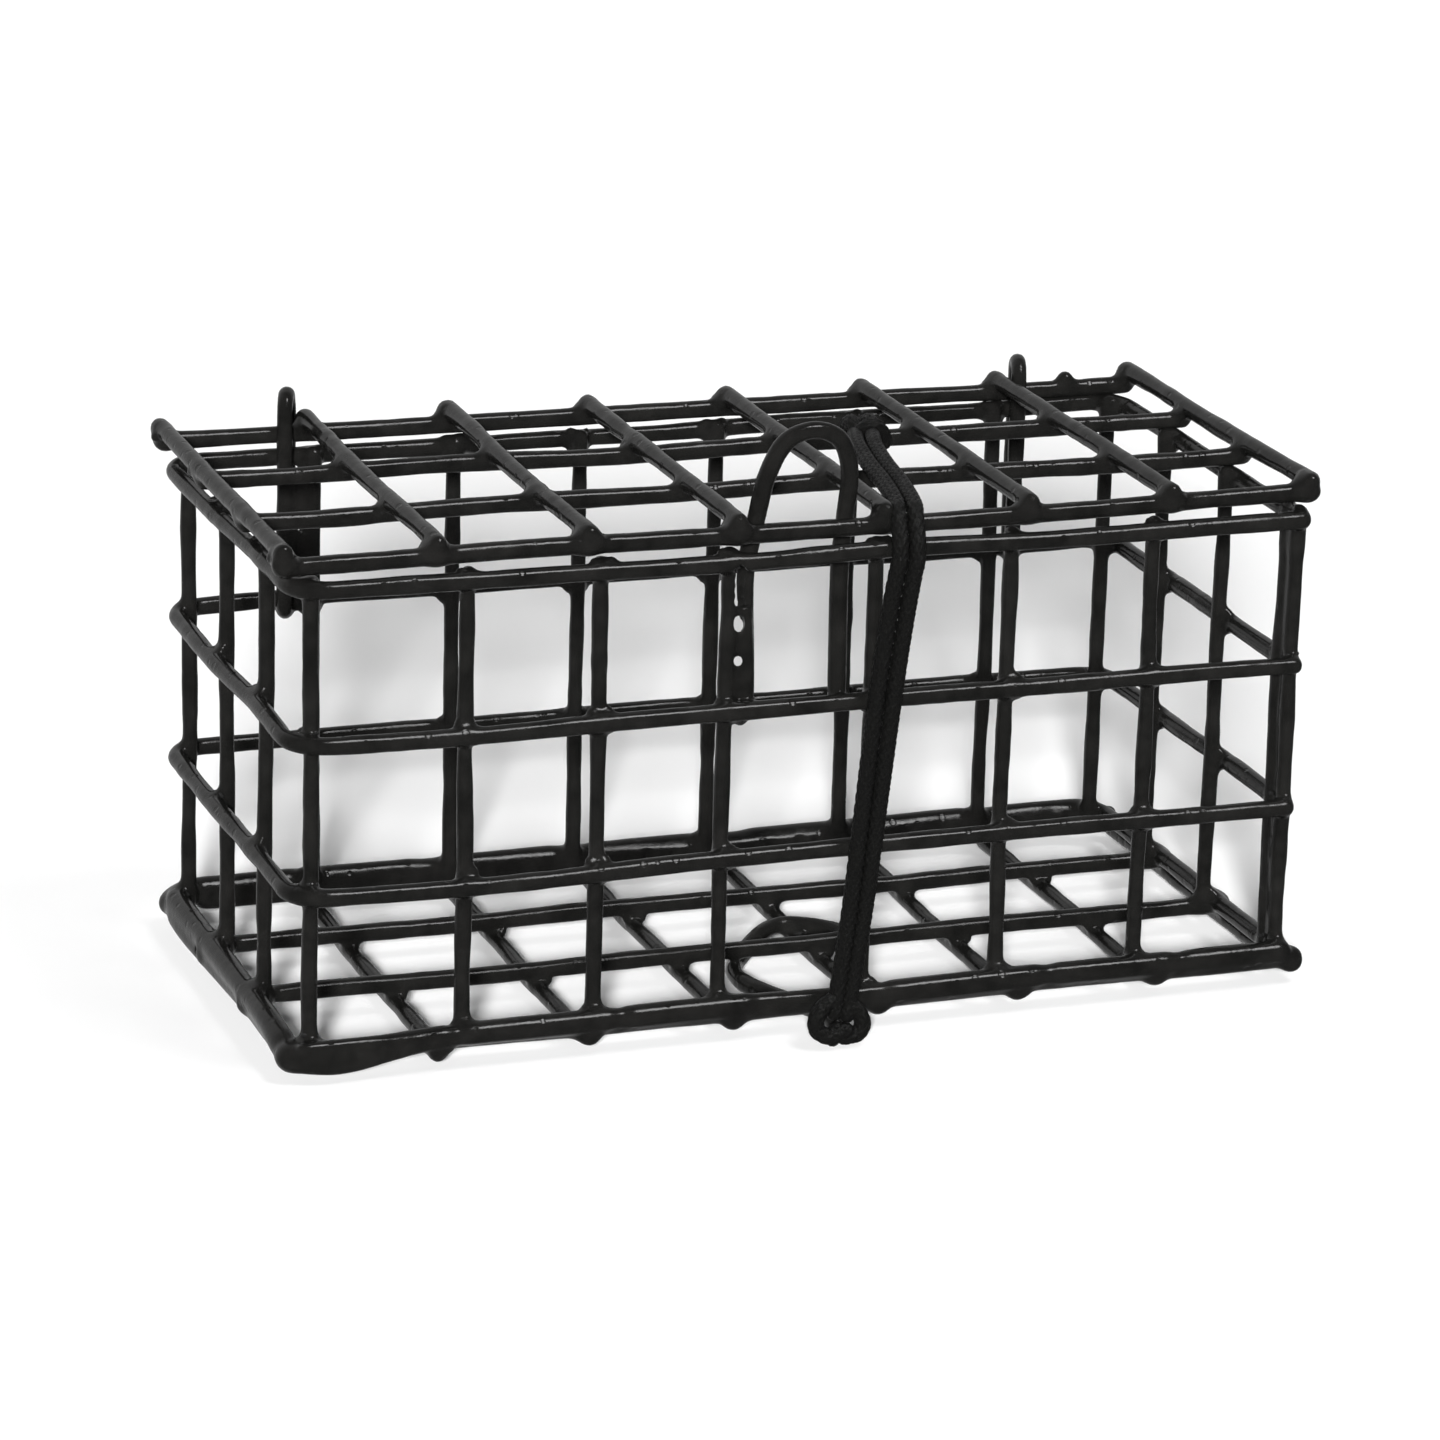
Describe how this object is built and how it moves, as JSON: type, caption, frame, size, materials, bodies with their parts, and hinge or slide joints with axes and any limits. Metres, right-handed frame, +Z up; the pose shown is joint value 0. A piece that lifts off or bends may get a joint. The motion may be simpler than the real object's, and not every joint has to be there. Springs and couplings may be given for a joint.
{
  "type": "wire mesh bait cage",
  "caption": "Small vinyl-dipped welded-wire bait cage with a hinged mesh lid, a wire hasp, a floor loop and an elastic closing cord.",
  "frame": {"origin": "under the middle of the whole object, on the surface that it stands on", "axes": "+X along the cage, +Y from the cord and hasp at the front towards the hinge loops at the back, +Z up"},
  "size_m": [0.1852, 0.0929, 0.1047],
  "materials": {
    "vinyl_coating": "black dipped vinyl, satin to glossy, with pits, drips and small bubbles at the crossings",
    "elastic_braid": "matte black braided cover on an elastic core"
  },
  "bodies": {
    "cage": {"wall_rail_bottom": "vinyl_coating", "wall_rail_lower": "vinyl_coating", "wall_rail_upper": "vinyl_coating", "wall_rail_rim": "vinyl_coating", "upright_corner_front_left": "vinyl_coating", "upright_corner_rear_left": "vinyl_coating", "upright_corner_rear_right": "vinyl_coating", "upright_corner_front_right": "vinyl_coating", "upright_seam_front_right": "vinyl_coating", "upright_front_1": "vinyl_coating", "upright_front_2": "vinyl_coating", "upright_front_3": "vinyl_coating", "upright_front_4": "vinyl_coating", "upright_front_5": "vinyl_coating", "upright_front_6": "vinyl_coating", "upright_rear_1": "vinyl_coating", "upright_rear_2": "vinyl_coating", "upright_rear_3": "vinyl_coating", "upright_rear_4": "vinyl_coating", "upright_rear_5": "vinyl_coating", "upright_rear_6": "vinyl_coating", "upright_left_1": "vinyl_coating", "upright_left_2": "vinyl_coating", "upright_right_1": "vinyl_coating", "upright_right_2": "vinyl_coating", "floor_cross_wire_1": "vinyl_coating", "floor_cross_wire_2": "vinyl_coating", "floor_cross_wire_3": "vinyl_coating", "floor_cross_wire_4": "vinyl_coating", "floor_cross_wire_5": "vinyl_coating", "floor_cross_wire_6": "vinyl_coating", "floor_cross_wire_7": "vinyl_coating", "floor_cross_wire_8": "vinyl_coating", "floor_long_wire_front": "vinyl_coating", "floor_long_wire_mid_front": "vinyl_coating", "floor_long_wire_mid_rear": "vinyl_coating", "floor_long_wire_back": "vinyl_coating", "hinge_loop_left": "vinyl_coating", "hinge_loop_right": "vinyl_coating", "hasp": "vinyl_coating", "floor_loop": "vinyl_coating"},
    "lid": {"lid_long_wire_back": "vinyl_coating", "lid_long_wire_mid_rear": "vinyl_coating", "lid_long_wire_mid_front": "vinyl_coating", "lid_long_wire_front": "vinyl_coating", "lid_cross_wire_1": "vinyl_coating", "lid_cross_wire_2": "vinyl_coating", "lid_cross_wire_3": "vinyl_coating", "lid_cross_wire_4": "vinyl_coating", "lid_cross_wire_5": "vinyl_coating", "lid_cross_wire_6": "vinyl_coating", "lid_cross_wire_7": "vinyl_coating", "lid_cross_wire_8": "vinyl_coating", "cord_hitch": "elastic_braid", "cord_top_strand_left": "elastic_braid", "cord_top_strand_right": "elastic_braid"},
    "cord": {"cord_front_strand_left": "elastic_braid", "cord_front_strand_right": "elastic_braid", "cord_knot": "elastic_braid"}
  },
  "joints": [
    {"name": "lid_hinge", "type": "hinge", "parent": "cage", "child": "lid", "pos_m": [0, 0.0415, 0.0866], "axis": [-1, 0, 0], "range_deg": [0, 105]},
    {"name": "cord_swing", "type": "hinge", "parent": "lid", "child": "cord", "pos_m": [0.0153, -0.0406, 0.0806], "axis": [-1, 0, 0], "range_deg": [0, 90]}
  ]
}
